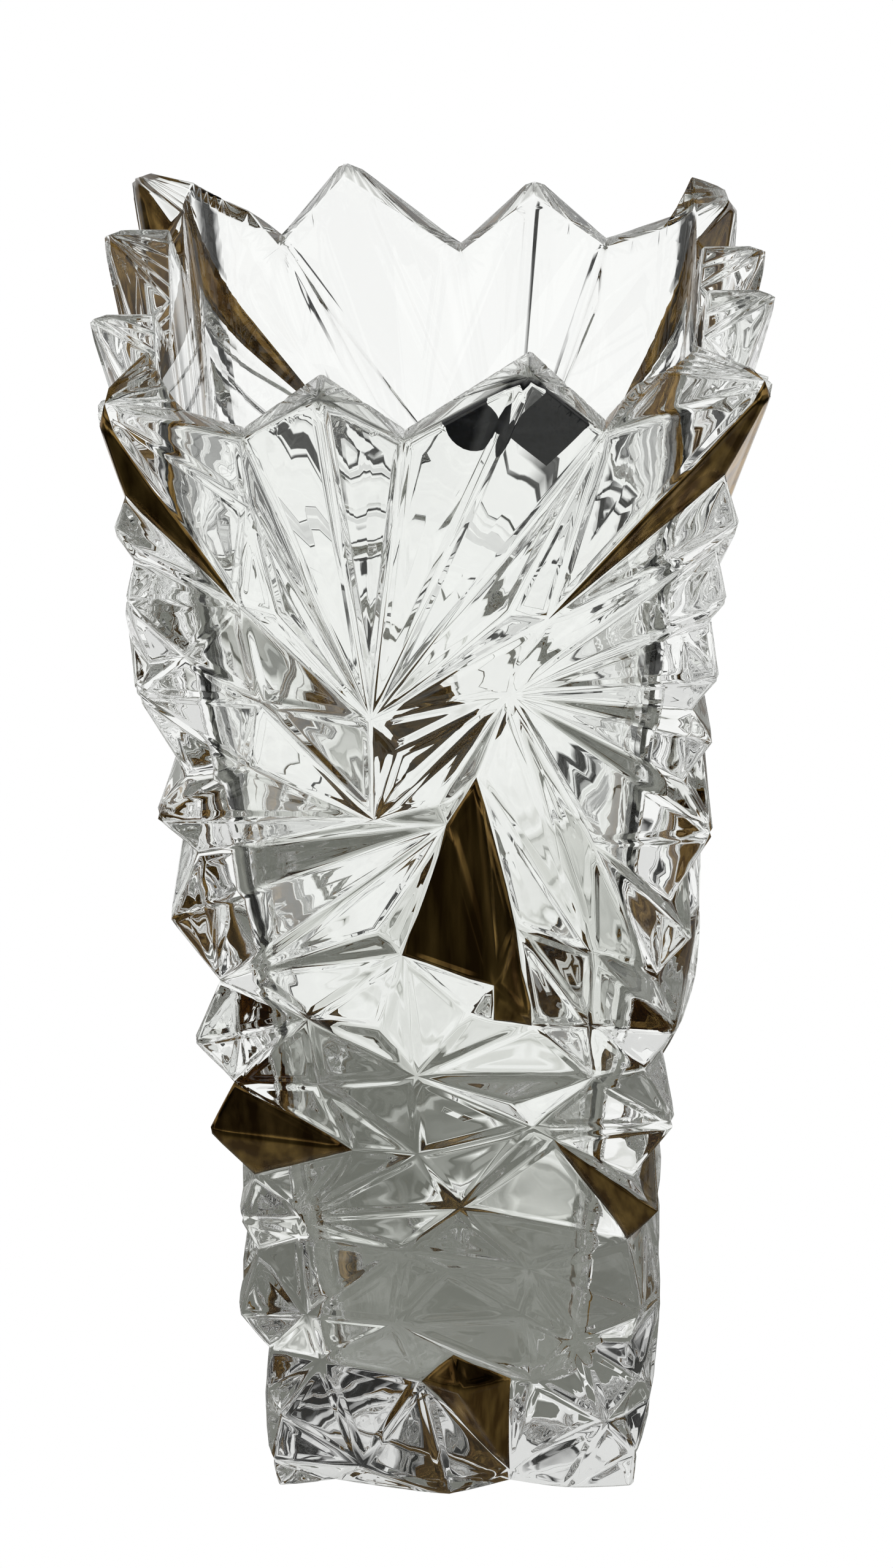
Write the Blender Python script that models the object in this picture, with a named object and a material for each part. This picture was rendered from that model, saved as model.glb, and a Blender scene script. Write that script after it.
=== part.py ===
"""Tall square vase of pressed and cut crystal, with a crown rim, gilded facets and a blank sticker.

The glass is one thick-walled body. Its outside is drawn once, as a pattern of ridges and
grooves on the front face, and laid on all four faces: the back is the front turned half
round, and the sides are the front mirrored in the vase's diagonals. Each fired patch of
gilding is a thin sheet of its own that lies on the facets, and the sticker is another on the
smooth wall of the well, behind the front face.

+Z is up, the front looks along -Y, and the origin is the middle of the foot.
"""

import math

import bmesh
import bpy
from mathutils import Vector
from mathutils.geometry import delaunay_2d_cdt

MM = 0.001

# Driving dimensions -------------------------------------------------------------------

HEIGHT = 305 * MM             # foot to the tallest teeth of the crown
FOOT_HALF_WIDTH = 44.5 * MM   # from the axis to the mean outer face, at the foot
RIM_HALF_WIDTH = 72.9 * MM    # the same, at full height
CUT_DEPTH = 1.0               # depth of the cutting, 1 as the pattern is drawn

FOOT_WALL = 17 * MM           # glass between the mean outer face and the well, at the foot
RIM_WALL = 10 * MM            # the same, at full height
FLOOR_THICKNESS = 27 * MM
WELL_FOOT_RADIUS = 6 * MM     # upright corners of the well, at its floor
WELL_RIM_RADIUS = 9 * MM      # the same, at full height
WELL_FILLET = 5 * MM          # between the well's walls and its floor
WELL_CORNER_STEPS = 8
WELL_FILLET_STEPS = 3

GILDING_THICKNESS = 0.4 * MM
STICKER_THICKNESS = 0.4 * MM
SHEET_CLEARANCE = 0.3 * MM    # between a sheet and the glass that it lies on
GILDING_MARGIN = 1.2 * MM     # bare glass left between a gilded patch and its facet's edges

STICKER_DISC_RADIUS = 6.2 * MM
STICKER_SQUARE_SIDE = 13.2 * MM
STICKER_BELOW_RIM = 16 * MM   # middle of the disc and of the square, below full height
STICKER_DISC_ACROSS = 12.5 * MM
STICKER_SQUARE_ACROSS = 26 * MM
STICKER_DISC_STEPS = 24

# The pattern, in millimetres as drawn on a face of this size ----------------------------

DRAWN_HEIGHT = 305
DRAWN_FOOT_HALF_WIDTH = 44.5
DRAWN_RIM_HALF_WIDTH = 72.9

# Corner profiles, top to foot: height, and how far the edge stands proud of the mean face.
# Two corners that face each other across the vase have the low crown tooth, two the high.
LOW_CORNER = [
    (297, -0.5), (273, -3.5), (266, 0), (257, -3), (248, 0), (231, -3), (225, 1), (200, -6.5),
    (193, 1.5), (180, -6), (166, 2), (145, -6), (132, 1.5), (117, -5.5), (107, 1.5), (90, -6.5),
    (80, -2), (69, -4.5), (54, 1.5), (40, -3.5), (29, -1.5), (20, -3.5), (9, 0), (0, -0.5),
]
HIGH_CORNER = [
    (303, 4.5), (277, -4), (266, 0.5), (259, -4), (247, -0.5), (241, -3.5), (227, -0.5),
    (217, -5.5), (211, 0), (198, -6), (188, 2), (166, -6), (159, 0), (145, -7.5), (133, -1.5),
    (119, -8), (108, 0.5), (88, -8), (82, -1), (70, -7.5), (52, -2.5), (42, -5), (33, -1.5),
    (20, -4), (11, -0.5), (0, -0.5),
]

# Crown points between the corners, left to right: across, up, proud.
CROWN = {
    "left_dip": (-39.5, 287, -3),
    "left_peak": (-22, 300, 5.5),
    "middle_dip": (-4, 286, -2.5),
    "right_peak": (24, 305, 6),
    "right_dip": (40, 288, -1),
}

# Foot points between the corners, left to right.
FOOT = {
    "foot_left_groove": (-30, 0, -3.5),
    "foot_middle_ridge": (-1.5, 0, 3.5),
    "foot_right_groove": (13.5, 0, -3.5),
    "foot_right_ridge": (28, 0, 0.5),
}

# Where the cuts meet inside the face: across, up, proud.
MEETINGS = {
    "flute_tip": (-38.5, 271, -1.5),
    "left_sliver_tip": (-42.5, 245.5, -4),
    "flute_foot": (-34, 243.5, -2.5),
    "flute_elbow": (18.5, 244.5, -0.5),
    "right_sliver_tip": (27, 241, -4.5),
    "left_spur": (-54.5, 235, 2),
    "left_knee": (-38, 223, 2),
    "upper_star": (-14, 214.5, -6),
    "upper_bend": (-8.5, 207, -5.5),
    "right_star": (17.5, 221.5, -5.5),
    "left_dimple": (-42, 203.5, -4.5),
    "kite_head": (10, 201.5, -2.5),
    "waist_left": (-14, 189, -5),
    "waist_bend": (1, 193, -5),
    "waist_right": (3, 188.5, -3),
    "right_leaf": (36, 183, -4),
    "kite_shoulder": (18, 161.5, -2.5),
    "right_knuckle": (36, 156.5, 2),
    "left_hinge": (-44, 148, -5),
    "middle_bend": (-14, 158.5, -5.5),
    "middle_star": (-8.5, 153.5, -3.5),
    "kite_heel": (13, 148, 2.5),
    "kite_notch": (12.5, 137.5, 1),
    "right_brow": (35, 137, 2.5),
    "kite_toe": (21.5, 134, -3.5),
    "left_tent": (-31.5, 134.5, -6),
    "middle_tent": (-14.5, 131.5, -6),
    "right_tent": (6.5, 137, -4),
    "lower_star": (-6.5, 118.5, -5.5),
    "left_sill": (-29.5, 117.5, -4),
    "right_sill": (35.5, 119, -4),
    "right_blade": (16.5, 114.5, 1),
    "belt_star": (21, 104.5, -5),
    "left_spike_tip": (-22, 98.5, -4),
    "right_spike_tip": (26, 101, -4.5),
    "belt": (-6.5, 97.5, -3.5),
    "left_brace": (-35.5, 80.5, -2),
    "belly_star": (3, 81.5, -4.5),
    "left_band": (-36, 74, -3),
    "belly_left": (-11, 69, -4.5),
    "belly_right": (19.5, 64.5, -3),
    "belly_cleft": (-0.5, 65, -2),
    "right_step": (17.5, 53, 1),
    "right_lobe": (30.5, 46.5, 2),
    "left_lobe": (-34.5, 54, 2),
    "sash_left": (-13, 51, 1.5),
    "sash_middle": (20, 34.5, 2.5),
    "sash_right": (37.5, 22, 2),
    "left_cleft": (-32, 37.5, -3),
    "foot_kite_head": (0.5, 40, -2),
    "foot_kite_left": (-7.5, 32, -2),
    "foot_kite_right": (14.5, 33, -1.5),
    "foot_kite_crest": (2.5, 32, 3),
    "foot_kite_point": (13.5, 4, -3.5),
    "left_stud": (-22.5, 9, 3),
}

# The ridges and grooves, each from meeting to meeting.
CUTS = """
low_297 left_sliver_tip low_273
left_dip flute_tip left_sliver_tip flute_foot flute_tip upper_star
left_dip upper_star left_peak
middle_dip upper_star right_peak
right_dip upper_star flute_elbow right_dip
flute_foot upper_star left_sliver_tip low_257
low_266 left_sliver_tip
high_303 right_sliver_tip high_277
right_sliver_tip upper_star right_star right_sliver_tip
high_266 right_star high_259
high_247 right_star high_241
high_227 right_star high_217
high_211 right_star high_198
high_188 right_star right_leaf high_188
high_166 right_leaf high_145
high_159 right_leaf
right_star right_knuckle high_145
right_knuckle kite_shoulder right_brow high_119
right_knuckle high_133
right_star kite_head waist_right waist_bend waist_left waist_right
upper_star upper_bend waist_left left_knee
upper_bend right_star waist_bend
waist_left right_star
low_248 left_spur left_knee upper_star
low_231 left_spur low_225 left_knee left_dimple waist_left
low_225 left_dimple low_200
low_193 waist_left low_180 waist_right
low_166 waist_right low_145 left_hinge middle_star
waist_right left_hinge middle_bend waist_right
middle_bend middle_star
left_hinge left_tent low_132
waist_right middle_star left_tent middle_tent middle_star right_tent
kite_head kite_shoulder kite_toe kite_notch kite_heel middle_star lower_star
kite_head kite_heel right_tent kite_notch
waist_right kite_heel kite_shoulder
kite_heel kite_toe
kite_toe right_brow
left_tent lower_star middle_tent
right_tent lower_star kite_toe
low_117 left_sill lower_star right_sill high_119
lower_star right_blade right_sill
right_blade belt_star lower_star
right_sill high_108 belt_star right_spike_tip high_88
high_82 right_spike_tip high_70
low_117 left_spike_tip low_107
low_90 left_spike_tip belt belt_star belly_star
left_sill belt left_brace low_80
left_brace belly_star high_70
low_69 left_band belly_left belly_star
belly_left belly_right high_52
belly_left belly_cleft right_step right_lobe high_42
low_54 left_lobe sash_left sash_middle sash_right high_11
low_40 left_cleft foot_kite_left
sash_middle right_lobe high_33
sash_left foot_kite_head foot_kite_right foot_kite_point foot_kite_left foot_kite_head
foot_kite_left foot_kite_crest foot_kite_right
foot_kite_head foot_kite_crest foot_kite_point foot_right_groove
foot_kite_left left_stud low_20
foot_left_groove left_stud foot_middle_ridge foot_kite_left
"""

# Gilded areas: outline, and the creases inside it. Those that touch a corner go round it.
LEFT_SLIVER = ("low_297", "low_273", "left_sliver_tip")
RIGHT_SLIVER = ("high_277", "high_303", "right_sliver_tip")
LEFT_SPIKE = ("low_117", "low_107", "low_90", "left_spike_tip")
LEFT_SPIKE_CREASE = ("low_107", "left_spike_tip")
RIGHT_SPIKE = ("high_70", "high_82", "high_88", "right_spike_tip")
RIGHT_SPIKE_CREASE = ("high_82", "right_spike_tip")
KITE = ("kite_head", "waist_right", "middle_star", "kite_heel", "kite_notch", "kite_toe",
        "kite_shoulder")
KITE_CREASES = [
    ("kite_head", "kite_heel"), ("waist_right", "kite_heel"),
    ("kite_shoulder", "kite_heel"), ("kite_toe", "kite_heel"),
]
FOOT_KITE = ("foot_kite_head", "foot_kite_left", "foot_kite_point", "foot_kite_right")
FOOT_KITE_CREASES = [
    ("foot_kite_left", "foot_kite_crest"), ("foot_kite_right", "foot_kite_crest"),
    ("foot_kite_head", "foot_kite_crest"), ("foot_kite_point", "foot_kite_crest"),
]

# The crown's slanted top: how far it climbs from each corner's outer point to the well.
LOW_TOOTH_CLIMB = 6.4 * MM
HIGH_TOOTH_CLIMB = 1.4 * MM

# Construction values --------------------------------------------------------------------

CAP_SETBACK = 9 * MM          # the crown's top runs this far into the well before the cut
CAP_CENTRE_SHARE = 0.6        # height of the cap's middle, inside the well
WELL_OVERSHOOT = 20 * MM      # the well's cutter stands this far above the crown
SAME_POINT = 0.001 * MM
FLAT_EPSILON = 1e-7


# The drawn pattern -----------------------------------------------------------------------

def drawn_half_width(up):
    """Half width of the drawn face at a drawn height."""
    return DRAWN_FOOT_HALF_WIDTH + (DRAWN_RIM_HALF_WIDTH - DRAWN_FOOT_HALF_WIDTH) * up / DRAWN_HEIGHT


def half_width(z):
    """Distance from the axis to the mean outer face at a real height."""
    return FOOT_HALF_WIDTH + (RIM_HALF_WIDTH - FOOT_HALF_WIDTH) * z / HEIGHT


def corner_points(name, profile, side):
    """Pattern points of one corner's edge; side is -1 on the left and 1 on the right."""
    return {
        f"{name}_{up}": (side * (drawn_half_width(up) + proud), up, proud)
        for up, proud in profile
    }


def pattern_points():
    """Every named point of the pattern: across, up and proud."""
    points = corner_points("low", LOW_CORNER, -1)
    points.update(corner_points("high", HIGH_CORNER, 1))
    points.update(CROWN)
    points.update(FOOT)
    points.update(MEETINGS)
    return points


def pattern_outline():
    """Names round the pattern, anticlockwise as seen from outside."""
    low = [f"low_{up}" for up, proud in LOW_CORNER]
    high = [f"high_{up}" for up, proud in reversed(HIGH_CORNER)]
    return low + list(FOOT) + high + list(reversed(CROWN))


def front_place(across, up, proud):
    """Where a point of the drawn pattern lies on the real front face."""
    z = HEIGHT * up / DRAWN_HEIGHT
    half = half_width(z)
    if abs(abs(across) - drawn_half_width(up) - proud) < SAME_POINT:
        x = math.copysign(half + proud * CUT_DEPTH * MM, across)
    else:
        x = across * half / drawn_half_width(up)
    return Vector((x, -half - proud * CUT_DEPTH * MM, z))


def draw_pattern():
    """The front face as a flat drawing and its triangles: flat points, places, triangles."""
    points = pattern_points()
    names = list(points)
    number = {name: index for index, name in enumerate(names)}
    flat = [Vector((across, up)) for across, up, proud in points.values()]
    cuts = []
    for line in CUTS.split("\n"):
        stops = [number[name] for name in line.split()]
        cuts += list(zip(stops, stops[1:]))
    outline = [number[name] for name in pattern_outline()]
    drawn = delaunay_2d_cdt(flat, cuts, [outline], 1, FLAT_EPSILON)
    new_flat, triangles, sources = drawn[0], drawn[2], drawn[3]
    crossed = [tuple(point) for point, source in zip(new_flat, sources) if not source]
    if crossed or len(new_flat) != len(names):
        raise ValueError(f"cuts cross away from a meeting, near {crossed}")
    places = [front_place(*points[names[source[0]]]) for source in sources]
    return new_flat, places, triangles


def place_on_face(drawing, spot):
    """The place on the cut front face above a flat spot of the drawing.

    A spot on a corner's edge is put exactly on the diagonal, where two faces share it.
    """
    flat, places, triangles = drawing
    best, best_slack = None, -math.inf
    for a, b, c in triangles:
        ab, ac, to_spot = flat[b] - flat[a], flat[c] - flat[a], spot - flat[a]
        area = ab.cross(ac)
        share_b, share_c = to_spot.cross(ac) / area, ab.cross(to_spot) / area
        slack = min(share_b, share_c, 1 - share_b - share_c)
        if slack > best_slack:
            best_slack = slack
            best = places[a] + share_b * (places[b] - places[a]) + share_c * (places[c] - places[a])
    if abs(abs(best.x) - abs(best.y)) < SAME_POINT:
        best.x = math.copysign(best.y, best.x)
    return best


# The four faces ---------------------------------------------------------------------------

def front(place):
    return Vector(place)


def back(place):
    return Vector((-place.x, -place.y, place.z))


def right(place):
    """Mirrored in the diagonal through the front right corner."""
    return Vector((-place.y, -place.x, place.z))


def left(place):
    """Mirrored in the diagonal through the front left corner."""
    return Vector((place.y, place.x, place.z))


FACES = {"front": front, "right": right, "back": back, "left": left}
MIRRORED = {"right", "left"}


# Meshes -------------------------------------------------------------------------------------

class Skin:
    """Collects polygons by their corners' places and merges corners that coincide."""

    def __init__(self):
        self.places = []
        self.polygons = []
        self.numbers = {}

    def corner(self, place):
        key = tuple(round(value / SAME_POINT) for value in place)
        if key not in self.numbers:
            self.numbers[key] = len(self.places)
            self.places.append(Vector(place))
        return self.numbers[key]

    def add(self, places, flipped=False):
        polygon = [self.corner(place) for place in places]
        self.polygons.append(polygon[::-1] if flipped else polygon)


def new_object(name, places, polygons, material):
    """A mesh object with its faces turned outwards."""
    mesh = bpy.data.meshes.new(name)
    mesh.from_pydata([tuple(place) for place in places], [], polygons)
    work = bmesh.new()
    work.from_mesh(mesh)
    bmesh.ops.recalc_face_normals(work, faces=work.faces[:])
    work.to_mesh(mesh)
    work.free()
    if material:
        mesh.materials.append(material)
    item = bpy.data.objects.new(name, mesh)
    bpy.context.scene.collection.objects.link(item)
    return item


# Materials -----------------------------------------------------------------------------------

def new_material(name, colour, roughness, metallic=0.0, transmission=0.0, ior=1.5):
    material = bpy.data.materials.new(name)
    material.use_nodes = True
    shader = material.node_tree.nodes["Principled BSDF"]
    shader.inputs["Base Color"].default_value = (*colour, 1.0)
    shader.inputs["Roughness"].default_value = roughness
    shader.inputs["Metallic"].default_value = metallic
    shader.inputs["Transmission Weight"].default_value = transmission
    shader.inputs["IOR"].default_value = ior
    return material


def clear_crystal():
    return new_material("clear_crystal", (0.96, 0.98, 0.97), 0.02, transmission=1.0, ior=1.54)


def fired_gold():
    return new_material("fired_gold", (0.50, 0.36, 0.13), 0.18, metallic=1.0)


def navy_foil():
    return new_material("navy_foil", (0.012, 0.014, 0.03), 0.35)


# The glass ------------------------------------------------------------------------------------

def cut_walls(skin, drawing):
    """The outer faces, from the foot to the crown."""
    flat, places, triangles = drawing
    for name, turn in FACES.items():
        for triangle in triangles:
            skin.add([turn(places[index]) for index in triangle], name in MIRRORED)


def foot_face(skin):
    """The flat face that the vase stands on."""
    points = pattern_points()
    ring = [f"low_{LOW_CORNER[-1][0]}"] + list(FOOT) + [f"high_{HIGH_CORNER[-1][0]}"]
    edge = [front_place(*points[name]) for name in ring]
    around = []
    for name in ("front", "right", "back", "left"):
        run = [FACES[name](place) for place in edge]
        around += (run[::-1] if name in MIRRORED else run)[:-1]
    skin.add(around)


def crown_top(skin):
    """The crown's slanted top, closed by a cap that lies wholly inside the well."""
    points = pattern_points()
    names = [f"low_{LOW_CORNER[0][0]}"] + list(CROWN) + [f"high_{HIGH_CORNER[0][0]}"]
    outer = [front_place(*points[name]) for name in names]
    inner_half = RIM_HALF_WIDTH - RIM_WALL - CAP_SETBACK
    well_half = RIM_HALF_WIDTH - RIM_WALL
    inner = [Vector((place.x, -inner_half, place.z)) for place in outer]
    for index, climb in ((0, LOW_TOOTH_CLIMB), (-1, HIGH_TOOTH_CLIMB)):
        reach = abs(outer[index].x)
        slope = climb / (reach - well_half)
        inner[index].x = math.copysign(inner_half, outer[index].x)
        inner[index].z = outer[index].z + slope * (reach - inner_half)
    centre = Vector((0, 0, HEIGHT * CAP_CENTRE_SHARE))
    for name, turn in FACES.items():
        for index in range(len(names) - 1):
            pair = [outer[index], outer[index + 1], inner[index + 1], inner[index]]
            corners = [turn(place) for place in pair]
            skin.add(corners[:3], name in MIRRORED)
            skin.add([corners[0], corners[2], corners[3]], name in MIRRORED)
            skin.add([corners[3], corners[2], centre], name in MIRRORED)


def rounded_square(half, radius, z):
    """One ring of the well: a square with round corners."""
    ring = []
    for quarter in range(4):
        turn = math.radians(90 * quarter)
        middle = Vector((half - radius, half - radius))
        for step in range(WELL_CORNER_STEPS + 1):
            angle = math.radians(90) * step / WELL_CORNER_STEPS
            x = middle.x + radius * math.cos(angle)
            y = middle.y + radius * math.sin(angle)
            ring.append(Vector((
                x * math.cos(turn) - y * math.sin(turn), x * math.sin(turn) + y * math.cos(turn), z)))
    return ring


def well_half_width(z):
    """Distance from the axis to the well's wall."""
    wall = FOOT_WALL + (RIM_WALL - FOOT_WALL) * z / HEIGHT
    return half_width(z) - wall


def well_ring(z, inset=0.0):
    """The well's outline at a height, drawn in by an inset where it meets the floor."""
    radius = WELL_FOOT_RADIUS + (WELL_RIM_RADIUS - WELL_FOOT_RADIUS) * z / HEIGHT
    return rounded_square(well_half_width(z) - inset, radius, z)


def well_cutter():
    """The space inside the vase, which is cut out of the glass."""
    rings = []
    for step in range(WELL_FILLET_STEPS + 1):
        angle = math.radians(90) * step / WELL_FILLET_STEPS
        inset = WELL_FILLET * (1 - math.sin(angle))
        rise = WELL_FILLET * (1 - math.cos(angle))
        rings.append(well_ring(FLOOR_THICKNESS + rise, inset))
    rings.append(well_ring(HEIGHT + WELL_OVERSHOOT))
    count = len(rings[0])
    polygons = [list(range(count))[::-1]]
    for level in range(len(rings) - 1):
        base = level * count
        for step in range(count):
            after = (step + 1) % count
            polygons.append([base + step, base + after, base + after + count, base + step + count])
    polygons.append([(len(rings) - 1) * count + step for step in range(count)])
    cutter = new_object("well_cutter", [place for ring in rings for place in ring], polygons, None)
    cutter.hide_render = True
    cutter.display_type = "WIRE"
    return cutter


def glass_body(drawing, material):
    """The whole glass: cut outside, crown, foot and smooth well."""
    skin = Skin()
    cut_walls(skin, drawing)
    foot_face(skin)
    crown_top(skin)
    body = new_object("glass_body", skin.places, skin.polygons, material)
    cut = body.modifiers.new("well", "BOOLEAN")
    cut.object = well_cutter()
    cut.operation = "DIFFERENCE"
    cut.solver = "EXACT"
    return body


# Sheets that lie on the glass -------------------------------------------------------------------

def inset_outline(outline, kept, margin):
    """A flat outline moved inwards by a margin, except along its kept sides.

    Kept holds the numbers of the sides that stay, each named by the corner it starts from.
    """
    count = len(outline)
    lines = []
    for index in range(count):
        start, end = outline[index], outline[(index + 1) % count]
        along = (end - start).normalized()
        shift = 0.0 if index in kept else margin
        lines.append((start + shift * Vector((-along.y, along.x)), along))
    moved = []
    for index in range(count):
        (before, along_before), (after, along_after) = lines[index - 1], lines[index]
        turn = along_before.cross(along_after)
        if abs(turn) < FLAT_EPSILON:
            moved.append(after)
        else:
            moved.append(before + along_before * ((after - before).cross(along_after) / turn))
    return moved


def lay_sheet(skin, drawing, outline, creases, turn, flipped):
    """Adds a flat outline to a skin, lifted onto one face of the glass."""
    points = outline + [spot for crease in creases for spot in crease]
    first = len(outline)
    edges = [(first + 2 * index, first + 2 * index + 1) for index in range(len(creases))]
    drawn = delaunay_2d_cdt(points, edges, [list(range(first))], 1, FLAT_EPSILON)
    for triangle in drawn[2]:
        places = [turn(place_on_face(drawing, drawn[0][index])) for index in triangle]
        skin.add(places, flipped)


def sheet_object(name, skin, clearance, thickness, material):
    """Turns a skin into a thin solid that follows it at a clearance."""
    normals = []
    touching = [[] for place in skin.places]
    for polygon in skin.polygons:
        a, b, c = (skin.places[index] for index in polygon)
        normal = (b - a).cross(c - a).normalized()
        normals.append(normal)
        for index in polygon:
            touching[index].append(normal)
    inner, outer = [], []
    for place, faces in zip(skin.places, touching):
        out = sum(faces, Vector()).normalized()
        reach = 1 / min(out.dot(normal) for normal in faces)
        inner.append(place + out * clearance * reach)
        outer.append(place + out * (clearance + thickness) * reach)
    count = len(skin.places)
    polygons = [polygon[::-1] for polygon in skin.polygons]
    polygons += [[index + count for index in polygon] for polygon in skin.polygons]
    sides = {(a, b) for polygon in skin.polygons for a, b in zip(polygon, polygon[1:] + polygon[:1])}
    for a, b in sorted(sides):
        if (b, a) not in sides:
            polygons.append([a, b, b + count, a + count])
    return new_object(name, inner + outer, polygons, material)


def named_spots(names):
    """Flat spots of named pattern points."""
    points = pattern_points()
    return [Vector(points[name][:2]) for name in names]


def gilding(name, drawing, faces, area, kept, creases, material):
    """One fired patch: an area of the pattern on one face, or on both faces of a corner."""
    outline = inset_outline(named_spots(area), kept, GILDING_MARGIN / MM)
    lines = [named_spots(crease) for crease in creases]
    skin = Skin()
    for face in faces:
        lay_sheet(skin, drawing, outline, lines, FACES[face], face in MIRRORED)
    return sheet_object(name, skin, SHEET_CLEARANCE, GILDING_THICKNESS, material)


def gilding_set(drawing, material):
    """The sixteen gilded patches."""
    low_corners = {"front_left": ("front", "left"), "back_right": ("back", "right")}
    high_corners = {"front_right": ("front", "right"), "back_left": ("back", "left")}
    for corner, faces in low_corners.items():
        gilding(f"gilt_sliver_{corner}", drawing, faces, LEFT_SLIVER, {0}, [], material)
        gilding(f"gilt_spike_{corner}", drawing, faces, LEFT_SPIKE, {0, 1},
                [LEFT_SPIKE_CREASE], material)
    for corner, faces in high_corners.items():
        gilding(f"gilt_sliver_{corner}", drawing, faces, RIGHT_SLIVER, {0}, [], material)
        gilding(f"gilt_spike_{corner}", drawing, faces, RIGHT_SPIKE, {0, 1},
                [RIGHT_SPIKE_CREASE], material)
    for face in FACES:
        gilding(f"gilt_kite_{face}", drawing, (face,), KITE, set(), KITE_CREASES, material)
        gilding(f"gilt_foot_kite_{face}", drawing, (face,), FOOT_KITE, set(),
                FOOT_KITE_CREASES, material)


def sticker_outline():
    """A disc and a square on its corner that overlap side by side: across and up."""
    middle = HEIGHT - STICKER_BELOW_RIM
    disc, square = Vector((STICKER_DISC_ACROSS, middle)), Vector((STICKER_SQUARE_ACROSS, middle))
    radius = STICKER_DISC_RADIUS
    reach = STICKER_SQUARE_SIDE / math.sqrt(2)
    gap = STICKER_SQUARE_ACROSS - STICKER_DISC_ACROSS - reach
    meeting = (-gap + math.sqrt(2 * radius * radius - gap * gap)) / 2
    opening = math.asin(meeting / radius)
    outline = []
    for step in range(STICKER_DISC_STEPS + 1):
        angle = opening + (2 * math.pi - 2 * opening) * step / STICKER_DISC_STEPS
        outline.append(disc + radius * Vector((math.cos(angle), math.sin(angle))))
    return outline + [square + Vector(way) * reach for way in ((0, -1), (1, 0), (0, 1))]


def sticker(material):
    """The maker's sticker, left blank, on the inside of the well's front wall."""
    outline = sticker_outline()
    near, far = SHEET_CLEARANCE, SHEET_CLEARANCE + STICKER_THICKNESS
    places = [Vector((x, off - well_half_width(z), z)) for off in (near, far) for x, z in outline]
    count = len(outline)
    polygons = [list(range(count)), list(range(count, 2 * count))]
    for index in range(count):
        after = (index + 1) % count
        polygons.append([index, after, after + count, index + count])
    return new_object("blank_sticker", places, polygons, material)


def main():
    for item in list(bpy.data.objects):
        bpy.data.objects.remove(item, do_unlink=True)
    drawing = draw_pattern()
    glass_body(drawing, clear_crystal())
    gilding_set(drawing, fired_gold())
    sticker(navy_foil())


main()
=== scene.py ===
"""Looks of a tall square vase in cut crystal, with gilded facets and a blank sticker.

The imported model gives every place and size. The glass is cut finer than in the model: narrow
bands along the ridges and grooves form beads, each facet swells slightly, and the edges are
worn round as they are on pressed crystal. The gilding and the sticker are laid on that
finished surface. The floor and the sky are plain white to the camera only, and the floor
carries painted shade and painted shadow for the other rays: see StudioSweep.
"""

import logging
import math
from dataclasses import dataclass, field
from enum import Enum

import bmesh
import bpy
import numpy as np
from mathutils import Matrix, Vector
from mathutils.bvhtree import BVHTree


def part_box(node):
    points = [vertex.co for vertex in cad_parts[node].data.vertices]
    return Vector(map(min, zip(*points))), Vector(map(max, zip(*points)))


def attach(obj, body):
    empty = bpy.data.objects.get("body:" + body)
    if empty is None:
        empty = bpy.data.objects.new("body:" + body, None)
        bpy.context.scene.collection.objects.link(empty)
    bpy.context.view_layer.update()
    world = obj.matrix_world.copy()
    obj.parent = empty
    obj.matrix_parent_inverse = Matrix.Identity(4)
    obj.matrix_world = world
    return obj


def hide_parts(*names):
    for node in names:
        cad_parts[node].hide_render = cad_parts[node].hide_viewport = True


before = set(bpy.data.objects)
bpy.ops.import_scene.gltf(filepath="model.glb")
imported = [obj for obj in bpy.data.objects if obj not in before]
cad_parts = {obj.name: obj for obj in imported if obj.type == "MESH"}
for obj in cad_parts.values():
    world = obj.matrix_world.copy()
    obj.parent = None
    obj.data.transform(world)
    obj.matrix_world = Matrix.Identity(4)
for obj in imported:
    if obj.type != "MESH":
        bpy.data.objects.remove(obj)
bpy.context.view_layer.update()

MM = 0.001
SAME_PLACE = 0.002 * MM
FLAT_ANGLE = math.radians(0.6)
INWARD_SHARE = 0.5
CLOSEST_POINTS = 0.05 * MM
LOG = logging.getLogger("vase")


class Slot(Enum):
    """Names of the material slots."""

    CRYSTAL = "clear_crystal"
    GOLD = "fired_gold"
    FOIL = "navy_foil"


class FloorTone(Enum):
    """What the glass and the gold see of the floor; the camera sees it white either way."""

    PLAIN = "one plain white to every ray"
    # painted shade and painted shadow on the floor, seen by every ray but the camera's
    GRADED = "dark and grey stretches, laid by hand, to every ray but the camera's"


# Node trees ---------------------------------------------------------------------------

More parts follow.
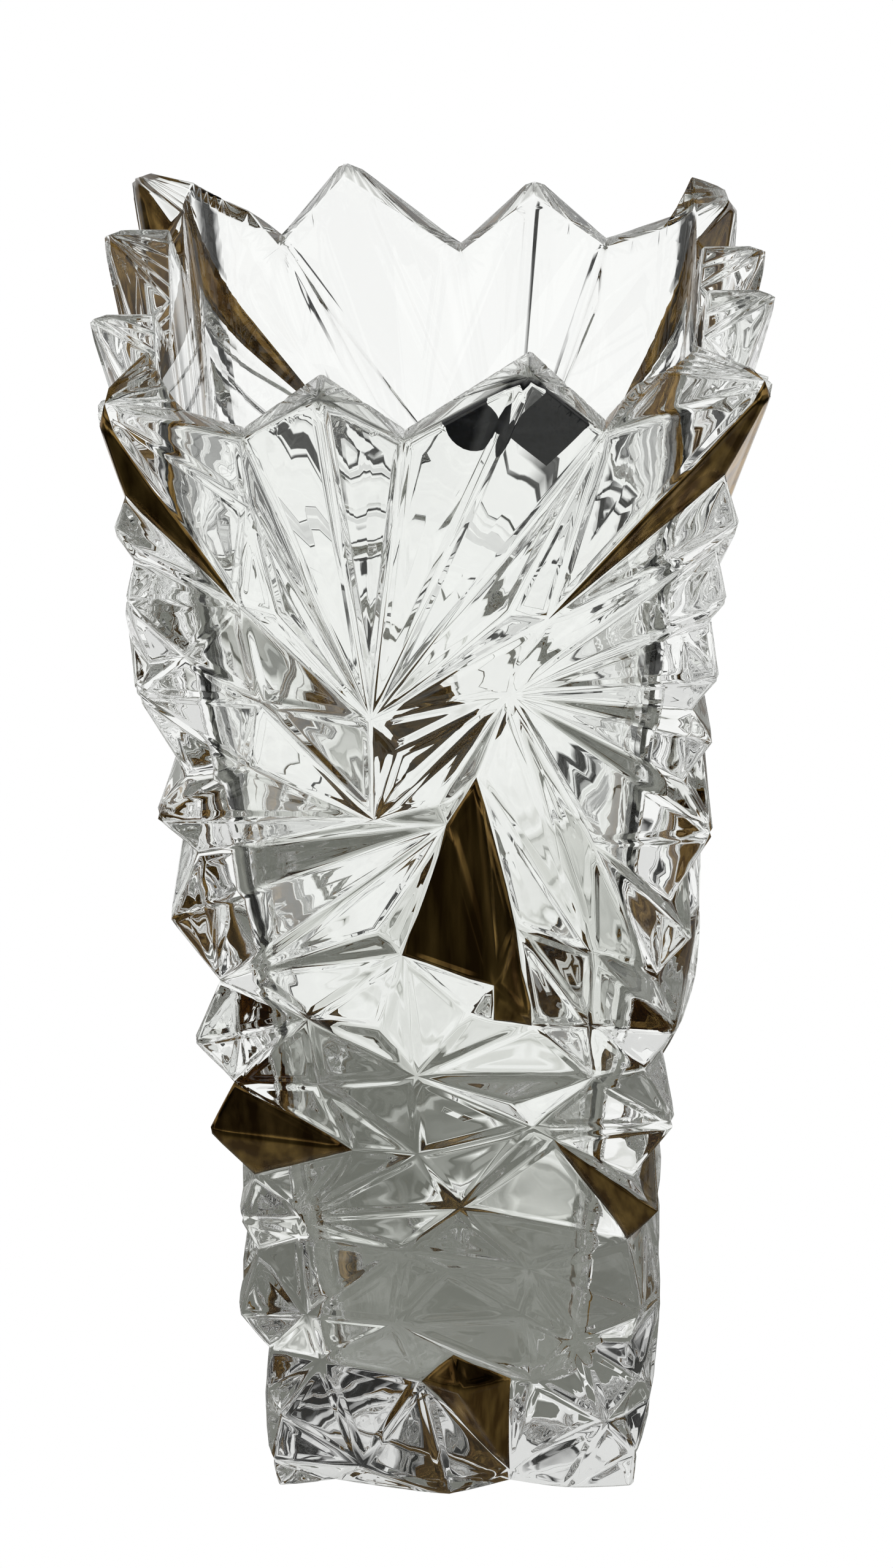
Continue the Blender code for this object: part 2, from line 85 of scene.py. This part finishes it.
class Recipe:
    """Builds one material's node tree."""

    def __init__(self, name: str) -> None:
        """Starts an empty material with an output.

        Args:
            name: the material's name.
        """
        self.material = bpy.data.materials.new(name)
        self.material.use_nodes = True
        self.tree = self.material.node_tree
        self.tree.nodes.clear()
        self.output = self.tree.nodes.new("ShaderNodeOutputMaterial")

    def add(self, kind: str, **settings: object) -> bpy.types.Node:
        """Adds a node and sets its properties.

        Args:
            kind: the node's type, without its ShaderNode prefix.
            settings: properties to set on the node.

        Returns:
            The new node.
        """
        node = self.tree.nodes.new(f"ShaderNode{kind}")
        for key, value in settings.items():
            setattr(node, key, value)
        return node

    def join(self, source: bpy.types.NodeSocket, target: bpy.types.NodeSocket) -> None:
        """Links an output socket to an input socket."""
        self.tree.links.new(source, target)

    def coordinates(self) -> bpy.types.NodeSocket:
        """The piece's own coordinates, in metres."""
        return self.add("TexCoord").outputs["Object"]

    def noise(self, scale: float, detail: float = 2.0, roughness: float = 0.5,
              stretch: tuple[float, float, float] = (1.0, 1.0, 1.0)) -> bpy.types.NodeSocket:
        """A noise pattern from the piece's own coordinates.

        Args:
            scale: how many features to a metre.
            detail: how many finer layers it has.
            roughness: how strong the finer layers are.
            stretch: how the scale is changed along each axis.

        Returns:
            The socket with the pattern's value.
        """
        node = self.add("TexNoise")
        node.inputs["Scale"].default_value = scale
        node.inputs["Detail"].default_value = detail
        node.inputs["Roughness"].default_value = roughness
        stretched = self.add("VectorMath", operation="MULTIPLY")
        stretched.inputs[1].default_value = stretch
        self.join(self.coordinates(), stretched.inputs[0])
        self.join(stretched.outputs["Vector"], node.inputs["Vector"])
        return node.outputs["Fac"]

    def spread(self, value: bpy.types.NodeSocket, low: float, high: float) -> bpy.types.NodeSocket:
        """Maps a 0 to 1 value to another range.

        Args:
            value: the socket to map.
            low: what 0 becomes.
            high: what 1 becomes.

        Returns:
            The socket with the mapped value.
        """
        node = self.add("MapRange")
        node.inputs["To Min"].default_value = low
        node.inputs["To Max"].default_value = high
        self.join(value, node.inputs["Value"])
        return node.outputs["Result"]

    def shades(self, value: bpy.types.NodeSocket,
               stops: dict[float, tuple[float, float, float]]) -> bpy.types.NodeSocket:
        """Colours a value by a ramp.

        Args:
            value: the socket to colour.
            stops: colour at each place on the ramp.

        Returns:
            The socket with the colour.
        """
        node = self.add("ValToRGB")
        ramp = node.color_ramp
        places = sorted(stops)
        ramp.elements[0].position = places[0]
        ramp.elements[0].color = (*stops[places[0]], 1.0)
        ramp.elements[1].position = places[-1]
        ramp.elements[1].color = (*stops[places[-1]], 1.0)
        for place in places[1:-1]:
            ramp.elements.new(place).color = (*stops[place], 1.0)
        self.join(value, node.inputs["Fac"])
        return node.outputs["Color"]

    def relief(self, height: bpy.types.NodeSocket, distance: float, strength: float = 1.0,
               under: bpy.types.NodeSocket | None = None) -> bpy.types.NodeSocket:
        """Bumps a surface by a height pattern.

        Args:
            height: the socket with the height, 0 to 1.
            distance: how deep the full height is, in metres.
            strength: how much of it shows.
            under: the normal of a relief that lies under this one.

        Returns:
            The socket with the normal.
        """
        node = self.add("Bump")
        node.inputs["Distance"].default_value = distance
        node.inputs["Strength"].default_value = strength
        self.join(height, node.inputs["Height"])
        if under is not None:
            self.join(under, node.inputs["Normal"])
        return node.outputs["Normal"]


# Finishes -----------------------------------------------------------------------------

@dataclass(frozen=True)
class ClearCrystal:
    """Polished leaded glass, with the faint swell that pressing leaves in it."""

    tint: tuple[float, float, float] = (0.985, 0.995, 0.980)
    ior: float = 1.545
    swell_per_metre: float = 30.0
    swell_depth: float = 0.05 * MM

    def material(self) -> bpy.types.Material:
        """Builds the material."""
        recipe = Recipe("clear_crystal_polished")
        shader = recipe.add("BsdfPrincipled")
        shader.inputs["Base Color"].default_value = (*self.tint, 1.0)
        shader.inputs["Roughness"].default_value = 0.0
        shader.inputs["IOR"].default_value = self.ior
        shader.inputs["Transmission Weight"].default_value = 1.0
        swell = recipe.noise(self.swell_per_metre, detail=1.0)
        recipe.join(recipe.relief(swell, self.swell_depth), shader.inputs["Normal"])
        recipe.join(shader.outputs["BSDF"], recipe.output.inputs["Surface"])
        return recipe.material


@dataclass(frozen=True)
class FiredGold:
    """Gold lustre, brushed on and fired: thin, dark and slightly streaked."""

    thin: tuple[float, float, float] = (0.12, 0.065, 0.020)
    thick: tuple[float, float, float] = (0.40, 0.25, 0.080)
    streaks_per_metre: float = 260.0
    stretch: tuple[float, float, float] = (1.0, 1.0, 0.12)
    thin_below: float = 0.38
    thick_above: float = 0.66
    roughness: tuple[float, float] = (0.10, 0.26)
    streak_depth: float = 0.02 * MM

    def material(self) -> bpy.types.Material:
        """Builds the material."""
        recipe = Recipe("fired_gold_lustre")
        shader = recipe.add("BsdfPrincipled")
        shader.inputs["Metallic"].default_value = 1.0
        cloud = recipe.noise(self.streaks_per_metre, detail=3.0, stretch=self.stretch)
        colour = recipe.shades(cloud, {self.thin_below: self.thin, self.thick_above: self.thick})
        recipe.join(colour, shader.inputs["Base Color"])
        recipe.join(recipe.spread(cloud, *self.roughness), shader.inputs["Roughness"])
        recipe.join(recipe.relief(cloud, self.streak_depth), shader.inputs["Normal"])
        recipe.join(shader.outputs["BSDF"], recipe.output.inputs["Surface"])
        return recipe.material


@dataclass(frozen=True)
class NavyFoil:
    """Nearly black navy foil with a satin surface and a fine crinkle."""

    dark: tuple[float, float, float] = (0.004, 0.005, 0.012)
    light: tuple[float, float, float] = (0.010, 0.012, 0.026)
    dark_below: float = 0.3
    light_above: float = 0.7
    specular: float = 0.25
    crinkles_per_metre: float = 900.0
    roughness: tuple[float, float] = (0.28, 0.42)
    crinkle_depth: float = 0.01 * MM

    def material(self) -> bpy.types.Material:
        """Builds the material."""
        recipe = Recipe("navy_foil_satin")
        shader = recipe.add("BsdfPrincipled")
        shader.inputs["Specular IOR Level"].default_value = self.specular
        grain = recipe.noise(self.crinkles_per_metre, detail=3.0)
        colour = recipe.shades(grain, {self.dark_below: self.dark, self.light_above: self.light})
        recipe.join(colour, shader.inputs["Base Color"])
        recipe.join(recipe.spread(grain, *self.roughness), shader.inputs["Roughness"])
        recipe.join(recipe.relief(grain, self.crinkle_depth), shader.inputs["Normal"])
        recipe.join(shader.outputs["BSDF"], recipe.output.inputs["Surface"])
        return recipe.material


@dataclass(frozen=True)
class StudioSweep:
    """The floor: plain white to the camera, with painted shade and painted shadow for the other rays.

    With FloorTone.GRADED the glass and the gold see painted shade on it that the camera doesn't:
    dark in front of the vase, a grey painted shadow under and just behind it, white further back,
    and a dark painted strip to each side. Most of the vase's greys and darks come from this
    painted shade and not from the vase, and without it the vase looks nearly white.
    FloorTone.PLAIN takes it away.
    """

    # the default lays painted shade and a painted shadow on the floor for every ray but the camera's
    tone: FloorTone = FloorTone.GRADED
    front: float = -0.80
    back: float = 0.60
    cast: tuple[float, float, float] = (0.97, 1.0, 0.87)
    # painted shade along the floor from front to back: dark in front of the vase, a grey painted shadow
    # under and just behind it, white further back
    painted_shade_tones: tuple[tuple[float, float], ...] = (
        (0.10, 0.75), (0.22, 0.04), (0.46, 0.06), (0.52, 0.24), (0.59, 0.20), (0.645, 0.16),
        (0.695, 0.74), (0.78, 1.0))
    # a dark painted strip to each side of the vase, applied as a strength on the painted shade
    painted_shade_strip_reach: float = 1.0
    painted_shade_strips: tuple[tuple[float, float], ...] = ((0.32, 1.0), (0.39, 0.05), (0.56, 0.05), (0.68, 1.0))

    def material(self) -> bpy.types.Material:
        """Builds the material."""
        recipe = Recipe("studio_sweep")
        seen = recipe.add("Emission")
        seen.inputs["Color"].default_value = (1.0, 1.0, 1.0, 1.0)
        if self.tone is FloorTone.PLAIN:
            recipe.join(seen.outputs["Emission"], recipe.output.inputs["Surface"])
            return recipe.material
        split = recipe.add("SeparateXYZ")
        recipe.join(recipe.coordinates(), split.inputs["Vector"])
        depth = recipe.add("MapRange")
        depth.inputs["From Min"].default_value = self.front
        depth.inputs["From Max"].default_value = self.back
        recipe.join(split.outputs["Y"], depth.inputs["Value"])
        # the painted shade's colours, tinted more strongly the darker they are
        stops = {place: tuple(grey * (part + (1 - part) * grey) for part in self.cast)
                 for place, grey in self.painted_shade_tones}
        tone = recipe.shades(depth.outputs["Result"], stops)
        # the dark painted strips, by distance from the middle line
        off = recipe.add("Math", operation="ABSOLUTE")
        recipe.join(split.outputs["X"], off.inputs[0])
        aside = recipe.add("Math", operation="DIVIDE")
        aside.inputs[1].default_value = self.painted_shade_strip_reach
        recipe.join(off.outputs["Value"], aside.inputs[0])
        painted_shade_strip_stops = {place: (grey, grey, grey) for place, grey in self.painted_shade_strips}
        painted_shade_strip = recipe.shades(aside.outputs["Value"], painted_shade_strip_stops)
        # the painted shade and painted shadow, seen by every ray but the camera's
        painted_shade_emission = recipe.add("Emission")
        recipe.join(tone, painted_shade_emission.inputs["Color"])
        recipe.join(painted_shade_strip, painted_shade_emission.inputs["Strength"])
        ray = recipe.add("LightPath")
        mix = recipe.add("MixShader")
        recipe.join(ray.outputs["Is Camera Ray"], mix.inputs["Fac"])
        recipe.join(painted_shade_emission.outputs["Emission"], mix.inputs[1])
        recipe.join(seen.outputs["Emission"], mix.inputs[2])
        recipe.join(mix.outputs["Shader"], recipe.output.inputs["Surface"])
        return recipe.material


# Meshes -------------------------------------------------------------------------------

def new_piece(name: str, work: bmesh.types.BMesh, material: bpy.types.Material) -> bpy.types.Object:
    """Makes a smooth-shaded piece of the vase from a finished mesh.

    Args:
        name: the piece's name.
        work: its mesh, which is freed.
        material: its finish.

    Returns:
        The piece, riding on the vase's one body.
    """
    mesh = bpy.data.meshes.new(name)
    work.to_mesh(mesh)
    work.free()
    mesh.materials.clear()
    mesh.materials.append(material)
    mesh.polygons.foreach_set("use_smooth", [True] * len(mesh.polygons))
    mesh.polygons.foreach_set("material_index", [0] * len(mesh.polygons))
    piece = bpy.data.objects.new(name, mesh)
    bpy.context.scene.collection.objects.link(piece)
    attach(piece, "root")
    return piece


def is_flat(edge: bmesh.types.BMEdge) -> bool:
    """True if an edge only divides one plane."""
    return len(edge.link_faces) == 2 and edge.calc_face_angle(math.pi) < FLAT_ANGLE


def in_well(face: bmesh.types.BMFace) -> bool:
    """True if a face looks in at the vase's axis, as the smooth walls of the well do."""
    middle = face.calc_center_median()
    return face.normal.x * middle.x + face.normal.y * middle.y < -INWARD_SHARE * middle.xy.length


def is_crease(edge: bmesh.types.BMEdge) -> bool:
    """True if an edge divides two facets that meet at an angle, outside the smooth well."""
    return not is_flat(edge) and not all(in_well(face) for face in edge.link_faces)


@dataclass
class WellCutter:
    """Divides the well's walls and the crown into small even triangles, so that they shade smoothly."""

    edge_length: float = 7.5 * MM
    rounds: int = 8
    least_edge: float = 0.005 * MM

    def divide(self, work: bmesh.types.BMesh) -> None:
        """Divides the mesh in place, keeping every facet flat and every face's film."""
        for _ in range(self.rounds):
            long_edges = []
            for edge in work.edges:
                if not any(in_well(face) for face in edge.link_faces):
                    continue
                if edge.calc_length() > self.edge_length:
                    long_edges.append(edge)
            if not long_edges:
                break
            bmesh.ops.subdivide_edges(work, edges=long_edges, cuts=1)
            bmesh.ops.triangulate(work, faces=work.faces[:])
            bmesh.ops.dissolve_degenerate(work, edges=work.edges[:], dist=self.least_edge)
            bmesh.ops.triangulate(work, faces=work.faces[:])
            flat = [edge for edge in work.edges if is_flat(edge)]
            bmesh.ops.beautify_fill(work, faces=work.faces[:], edges=flat, method="ANGLE")


class FineMesh:
    """A mesh under construction, which knows where each point lay before it was lifted."""

    def __init__(self) -> None:
        """Starts an empty mesh."""
        self.mesh = bmesh.new()
        self.flat_places: dict[bmesh.types.BMVert, Vector] = {}
        self.lifts: dict[bmesh.types.BMVert, float] = {}
        self.shares: list[float] = []

    def point(self, place: Vector, out: Vector, lift: float, share: float) -> bmesh.types.BMVert:
        """Adds a point.

        Args:
            place: where it lies on the flat facet.
            out: the way that it is lifted.
            lift: how far it is lifted, in metres.
            share: its share of the wear, 0 to 1.

        Returns:
            The point.
        """
        vert = self.mesh.verts.new(place + out * lift)
        self.flat_places[vert] = place.copy()
        self.lifts[vert] = lift
        self.shares.append(share)
        return vert

    def face(self, corners: list[bmesh.types.BMVert], film: int) -> None:
        """Adds a face that carries a film's number."""
        self.mesh.faces.new(corners).material_index = film


@dataclass
class FacetCutter:
    """Divides facets into narrow bands along their edges and a flat field inside them.

    The bands of two facets that meet form a bead: a ridge stands up a little further than its
    facets reach and a groove is a little deeper, as the lines of a press mould leave them.
    """

    band: float = 1.75 * MM
    band_share: float = 0.55
    rows: tuple[float, ...] = (0.5, 1.0, 1.3)
    row_wear: tuple[float, ...] = (0.5, 0.0, 0.0)
    row_lift: tuple[float, ...] = (0.5, 0.0, 0.0)
    lift: float = 0.70 * MM
    widest_bead: float = math.radians(50)
    step: float = 6.2 * MM
    least_area: float = 0.001 * MM * MM
    swell: float = 0.035
    swell_rows: tuple[float, ...] = (0.35, 0.70)
    level: float = 0.7

    def reach(self, face: bmesh.types.BMFace) -> float:
        """Width of a facet's bands, which narrow on narrow facets."""
        return min(self.band, self.band_share * 2 * face.calc_area() / face.calc_perimeter())

    def edge_lift(self, edge: bmesh.types.BMEdge) -> float:
        """How far an edge is lifted: outwards on a ridge, inwards in a groove.

        Args:
            edge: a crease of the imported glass.

        Returns:
            The lift in metres; nothing where the two facets meet at a sharp corner.
        """
        if edge.calc_face_angle(math.pi) > self.widest_bead:
            return 0.0
        reach = min(self.reach(face) for face in edge.link_faces)
        return math.copysign(self.lift * reach / self.band, 1 if edge.is_convex else -1)

    def divide(self, work: bmesh.types.BMesh) -> FineMesh:
        """Divides a mesh of triangles.

        Args:
            work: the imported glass, with each face's film as its material index.

        Returns:
            The divided mesh.
        """
        fine = FineMesh()
        lifts = {edge: self.edge_lift(edge) for edge in work.edges if is_crease(edge)}
        corners: dict[bmesh.types.BMVert, bmesh.types.BMVert] = {}
        for vert in work.verts:
            around = [lifts[edge] for edge in vert.link_edges if edge in lifts]
            lift = sum(around) / len(around) if around else 0.0
            corners[vert] = fine.point(vert.co, vert.normal, lift, 1.0 if around else 0.0)
        along: dict[bmesh.types.BMEdge, list[bmesh.types.BMVert]] = {}
        for edge in work.edges:
            start, end = edge.verts
            inside = []
            if edge in lifts:
                count = math.ceil(edge.calc_length() / self.step)
                out = sum((face.normal for face in edge.link_faces), Vector()).normalized()
                inside = [fine.point(start.co.lerp(end.co, index / count), out, lifts[edge], 1.0)
                          for index in range(1, count)]
            along[edge] = [corners[start], *inside, corners[end]]
        for face in work.faces:
            ring: list[bmesh.types.BMVert] = []
            for loop in face.loops:
                run = along[loop.edge]
                ring += (run if loop.edge.verts[0] == loop.vert else run[::-1])[:-1]
            touched = any(edge in lifts for vert in face.verts for edge in vert.link_edges)
            if touched and face.calc_area() > self.least_area:
                ring = self.lay_bands(fine, face, ring)
            fine.face(ring, face.material_index)
        return fine

    def lay_bands(self, fine: FineMesh, face: bmesh.types.BMFace,
                  ring: list[bmesh.types.BMVert]) -> list[bmesh.types.BMVert]:
        """Lays a facet's bands, row by row from its edges inwards.

        Args:
            fine: the mesh under construction.
            face: the facet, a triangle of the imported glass.
            ring: the fine points round it.

        Returns:
            The innermost row, which bounds the facet's flat field.
        """
        sides = [loop.edge.calc_length() for loop in face.loops]
        opposite = [sides[1], sides[2], sides[0]]
        weighted = (size * loop.vert.co for size, loop in zip(opposite, face.loops))
        middle = sum(weighted, Vector()) / sum(sides)
        inradius = 2 * face.calc_area() / sum(sides)
        outer = [(fine.flat_places[vert], fine.lifts[vert]) for vert in ring]
        for row, share, height in zip(self.rows, self.row_wear, self.row_lift):
            scale = 1 - row * self.reach(face) / inradius
            inner = [fine.point(middle + (place - middle) * scale, face.normal, lift * height, share)
                     for place, lift in outer]
            ring = self.lay_strip(fine, face, ring, inner)
        if in_well(face) or abs(face.normal.z) > self.level:
            return ring
        field_scale = scale
        for row in self.swell_rows:
            scale = field_scale * (1 - row)
            rise = self.swell * inradius * field_scale * (1 - (1 - row) ** 2)
            inner = [fine.point(middle + (place - middle) * scale, face.normal, rise, 0.0)
                     for place, _ in outer]
            ring = self.lay_strip(fine, face, ring, inner)
        return ring

    def lay_strip(self, fine: FineMesh, face: bmesh.types.BMFace, ring: list[bmesh.types.BMVert],
                  inner: list[bmesh.types.BMVert]) -> list[bmesh.types.BMVert]:
        """Fills the strip between two rows of a facet.

        Args:
            fine: the mesh under construction.
            face: the facet.
            ring: the outer row.
            inner: the inner row, with as many points.

        Returns:
            The inner row.
        """
        for index in range(len(ring)):
            after = (index + 1) % len(ring)
            fine.face([ring[index], ring[after], inner[after], inner[index]], face.material_index)
        return inner


def wear(work: bmesh.types.BMesh, passes: int, share: np.ndarray) -> None:
    """Rounds ridges and grooves by moving each point towards its nearest neighbours.

    Args:
        work: the mesh, changed in place.
        passes: how many times to move the points.
        share: how far each point moves each time, 0 to 1.
    """
    work.verts.index_update()
    places = np.array([vert.co for vert in work.verts])
    ends = np.array([[edge.verts[0].index, edge.verts[1].index] for edge in work.edges])
    lengths = np.linalg.norm(places[ends[:, 0]] - places[ends[:, 1]], axis=1)
    pull = 1 / np.maximum(lengths, CLOSEST_POINTS) ** 2
    weight = np.bincount(ends.ravel(), weights=np.repeat(pull, 2), minlength=len(places))
    for _ in range(passes):
        total = np.zeros_like(places)
        np.add.at(total, ends[:, 0], pull[:, None] * places[ends[:, 1]])
        np.add.at(total, ends[:, 1], pull[:, None] * places[ends[:, 0]])
        places += share[:, None] * (total / weight[:, None] - places)
    for vert, place in zip(work.verts, places):
        vert.co = place


# The vase -----------------------------------------------------------------------------

@dataclass
class CrystalBody:
    """The glass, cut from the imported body, with its edges worn round."""

    node: str = "glass_body"
    wear_passes: int = 2
    wear_share: float = 0.5
    film_reach: float = 0.8 * MM
    well_cutter: WellCutter = field(default_factory=WellCutter)
    facet_cutter: FacetCutter = field(default_factory=FacetCutter)
    finish: ClearCrystal = field(default_factory=ClearCrystal)

    def cut(self, films: list[str]) -> bmesh.types.BMesh:
        """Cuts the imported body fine, with each gilded facet numbered by its film.

        Args:
            films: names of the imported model's gilt films.

        Returns:
            The fine mesh. A face's material index is 0 where it is bare glass, and one more
            than its film's place in the list where it is gilded.
        """
        work = bmesh.new()
        work.from_mesh(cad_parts[self.node].data)
        bmesh.ops.remove_doubles(work, verts=work.verts[:], dist=SAME_PLACE)
        for face in work.faces:
            face.material_index = 0
        for number, name in enumerate(films, start=1):
            film = bmesh.new()
            film.from_mesh(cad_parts[name].data)
            tree = BVHTree.FromBMesh(film)
            film.free()
            for face in work.faces:
                near = tree.find_nearest(face.calc_center_median(), self.film_reach)
                if near[0] is not None:
                    face.material_index = number
        self.well_cutter.divide(work)
        work.normal_update()
        fine = self.facet_cutter.divide(work)
        work.free()
        wear(fine.mesh, self.wear_passes, self.wear_share * np.array(fine.shares))
        low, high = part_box(self.node)
        for vert in fine.mesh.verts:
            vert.co = [min(max(value, least), most) for value, least, most in zip(vert.co, low, high)]
        bmesh.ops.triangulate(fine.mesh, faces=fine.mesh.faces[:])
        bmesh.ops.recalc_face_normals(fine.mesh, faces=fine.mesh.faces[:])
        return fine.mesh

    def build(self, work: bmesh.types.BMesh) -> bpy.types.Object:
        """Makes the glass piece.

        Args:
            work: the fine mesh, which stays as it is.

        Returns:
            The piece.
        """
        piece = new_piece("crystal_body", work.copy(), self.finish.material())
        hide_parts(self.node)
        return piece


@dataclass
class GildedPatch:
    """One fired patch of gold, which follows the glass that it is fired to."""

    film: str
    number: int
    sink: float = 0.05 * MM
    rise: float = 0.12 * MM

    def build(self, glass: bmesh.types.BMesh, material: bpy.types.Material) -> bpy.types.Object:
        """Makes the patch.

        Args:
            glass: the fine glass mesh, with its faces numbered by film.
            material: the gold.

        Returns:
            The piece.
        """
        work = bmesh.new()
        rounds = {frozenset(vert.index for vert in face.verts): [vert for vert in face.verts]
                  for face in glass.faces if face.material_index == self.number}
        verts = {vert.index: vert for corners in rounds.values() for vert in corners}
        below = {index: work.verts.new(vert.co - vert.normal * self.sink) for index, vert in verts.items()}
        above = {index: work.verts.new(vert.co + vert.normal * self.rise) for index, vert in verts.items()}
        sides = set()
        for corners in rounds.values():
            ring = [vert.index for vert in corners]
            work.faces.new([above[index] for index in ring])
            work.faces.new([below[index] for index in reversed(ring)])
            sides.update(zip(ring, ring[1:] + ring[:1]))
        for start, end in sides:
            if (end, start) not in sides:
                work.faces.new([below[start], below[end], above[end], above[start]])
        piece = new_piece(self.film.replace("gilt_", "gold_"), work, material)
        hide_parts(self.film)
        return piece


@dataclass
class Sticker:
    """The blank foil sticker inside the front wall: a disc and a square on its corner."""

    node: str = "blank_sticker"
    rise: float = 0.10 * MM
    sink: float = 0.03 * MM
    facing: float = 0.5
    finish: NavyFoil = field(default_factory=NavyFoil)

    def build(self, glass: bmesh.types.BMesh) -> bpy.types.Object:
        """Lays the sticker on the finished wall of the well.

        Args:
            glass: the fine glass mesh.

        Returns:
            The piece.
        """
        wall = BVHTree.FromBMesh(glass)
        work = bmesh.new()
        work.from_mesh(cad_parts[self.node].data)
        bmesh.ops.remove_doubles(work, verts=work.verts[:], dist=SAME_PLACE)
        hidden = [face for face in work.faces if face.normal.y < self.facing]
        bmesh.ops.delete(work, geom=hidden, context="FACES")
        low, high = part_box(self.node)
        middle = (low + high) / 2
        reach = wall.ray_cast(middle, Vector((0.0, -1.0, 0.0)))[3]
        off = min(abs(vert.co.y - middle.y) for vert in work.verts)
        bmesh.ops.translate(work, verts=work.verts[:], vec=(0.0, off + self.rise - reach, 0.0))
        made = bmesh.ops.extrude_face_region(work, geom=work.faces[:])["geom"]
        back = [item for item in made if isinstance(item, bmesh.types.BMVert)]
        bmesh.ops.translate(work, verts=back, vec=(0.0, -self.rise - self.sink, 0.0))
        bmesh.ops.recalc_face_normals(work, faces=work.faces[:])
        piece = new_piece("foil_sticker", work, self.finish.material())
        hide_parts(self.node)
        return piece


# The studio ---------------------------------------------------------------------------

@dataclass
class Studio:
    """Pale floor with painted shade and painted shadow for every ray but the camera's, soft light and the
    camera.
    """

    camera_at: tuple[float, float, float] = (0.0506, -1.0802, 0.6680)
    yaw: float = -2.67
    pitch: float = -24.65
    roll: float = -1.46
    lens: float = 113.1
    sensor_width: float = 36.0
    floor_half: float = 6.0
    floor_drop: float = 0.0002
    sky_tones: tuple[tuple[float, float], ...] = (
        (0.0, 1.0), (0.46, 0.95), (0.56, 0.03), (0.70, 0.03), (0.80, 0.9))
    front_end: float = -0.75
    back_end: float = -0.2
    front_tone: float = 0.06
    bounces: int = 32
    glossy_bounces: int = 16

    def floor(self) -> bpy.types.Object:
        """Lays the floor."""
        work = bmesh.new()
        half = self.floor_half
        corners = [work.verts.new(spot) for spot in
                   ((-half, -half, 0), (half, -half, 0), (half, half, 0), (-half, half, 0))]
        work.faces.new(corners)
        mesh = bpy.data.meshes.new("floor")
        work.to_mesh(mesh)
        work.free()
        # the floor's material paints shade and a shadow for every ray but the camera's
        mesh.materials.append(StudioSweep().material())
        item = bpy.data.objects.new("floor", mesh)
        item.location.z = -self.floor_drop
        bpy.context.scene.collection.objects.link(item)
        return item

    def sky(self) -> None:
        """Surrounds the vase with soft light: pale at eye level, darker overhead and towards the front.

        The camera sees it plain white; the gradient is only for the other rays.
        """
        world = bpy.data.worlds.new("studio")
        world.use_nodes = True
        bpy.context.scene.world = world
        tree = world.node_tree
        tree.nodes.clear()
        out = tree.nodes.new("ShaderNodeOutputWorld")
        way = tree.nodes.new("ShaderNodeTexCoord")
        split = tree.nodes.new("ShaderNodeSeparateXYZ")
        tree.links.new(way.outputs["Generated"], split.inputs["Vector"])
        height = tree.nodes.new("ShaderNodeValToRGB")
        ramp = height.color_ramp
        for place, _ in self.sky_tones[1:-1]:
            ramp.elements.new(place)
        for element, (place, tone) in zip(ramp.elements, self.sky_tones):
            element.position = place
            element.color = (tone, tone, tone, 1.0)
        tree.links.new(split.outputs["Z"], height.inputs["Fac"])
        front = tree.nodes.new("ShaderNodeMapRange")
        front.interpolation_type = "SMOOTHSTEP"
        front.inputs["From Min"].default_value = self.front_end
        front.inputs["From Max"].default_value = self.back_end
        front.inputs["To Min"].default_value = self.front_tone
        front.inputs["To Max"].default_value = 1.0
        tree.links.new(split.outputs["Y"], front.inputs["Value"])
        shade = tree.nodes.new("ShaderNodeMath")
        shade.operation = "MULTIPLY"
        tree.links.new(height.outputs["Color"], shade.inputs[0])
        tree.links.new(front.outputs["Result"], shade.inputs[1])
        around = tree.nodes.new("ShaderNodeBackground")
        tree.links.new(shade.outputs["Value"], around.inputs["Strength"])
        plain = tree.nodes.new("ShaderNodeBackground")
        plain.inputs["Strength"].default_value = 1.0
        plain.inputs["Color"].default_value = (1.0, 1.0, 1.0, 1.0)
        ray = tree.nodes.new("ShaderNodeLightPath")
        mix = tree.nodes.new("ShaderNodeMixShader")
        tree.links.new(ray.outputs["Is Camera Ray"], mix.inputs["Fac"])
        tree.links.new(around.outputs["Background"], mix.inputs[1])
        tree.links.new(plain.outputs["Background"], mix.inputs[2])
        tree.links.new(mix.outputs["Shader"], out.inputs["Surface"])

    def camera(self) -> bpy.types.Object:
        """Sets up the camera."""
        data = bpy.data.cameras.new("camera")
        data.lens = self.lens
        data.sensor_width = self.sensor_width
        item = bpy.data.objects.new("camera", data)
        bpy.context.scene.collection.objects.link(item)
        yaw, pitch, roll = (math.radians(angle) for angle in (self.yaw, self.pitch, self.roll))
        level = math.cos(pitch)
        ahead = Vector((math.sin(yaw) * level, math.cos(yaw) * level, math.sin(pitch)))
        side = Vector((math.cos(yaw), -math.sin(yaw), 0.0))
        up = side.cross(ahead)
        across = side * math.cos(roll) + up * math.sin(roll)
        upright = up * math.cos(roll) - side * math.sin(roll)
        turn = Matrix((across, upright, -ahead)).transposed().to_4x4()
        item.matrix_world = Matrix.Translation(self.camera_at) @ turn
        bpy.context.scene.camera = item
        return item

    def build(self) -> None:
        """Builds the studio."""
        self.floor()
        self.sky()
        self.camera()
        scene = bpy.context.scene
        scene.view_settings.view_transform = "Standard"
        scene.cycles.max_bounces = self.bounces
        scene.cycles.transmission_bounces = self.bounces
        scene.cycles.glossy_bounces = self.glossy_bounces


def main() -> None:
    """Builds the vase and its studio."""
    logging.basicConfig(level=logging.INFO, format="%(name)s: %(message)s")
    films = sorted(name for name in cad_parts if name.startswith("gilt_"))
    body = CrystalBody()
    glass = body.cut(films)
    glass.verts.index_update()
    LOG.info("glass cut to %d faces", len(glass.faces))
    piece = body.build(glass)
    LOG.info("%s built", piece.name)
    gold = FiredGold().material()
    for number, film in enumerate(films, start=1):
        patch = GildedPatch(film, number).build(glass, gold)
        LOG.info("%s built", patch.name)
    sticker = Sticker().build(glass)
    LOG.info("%s built", sticker.name)
    glass.free()
    Studio().build()


if __name__ == "__main__":
    main()
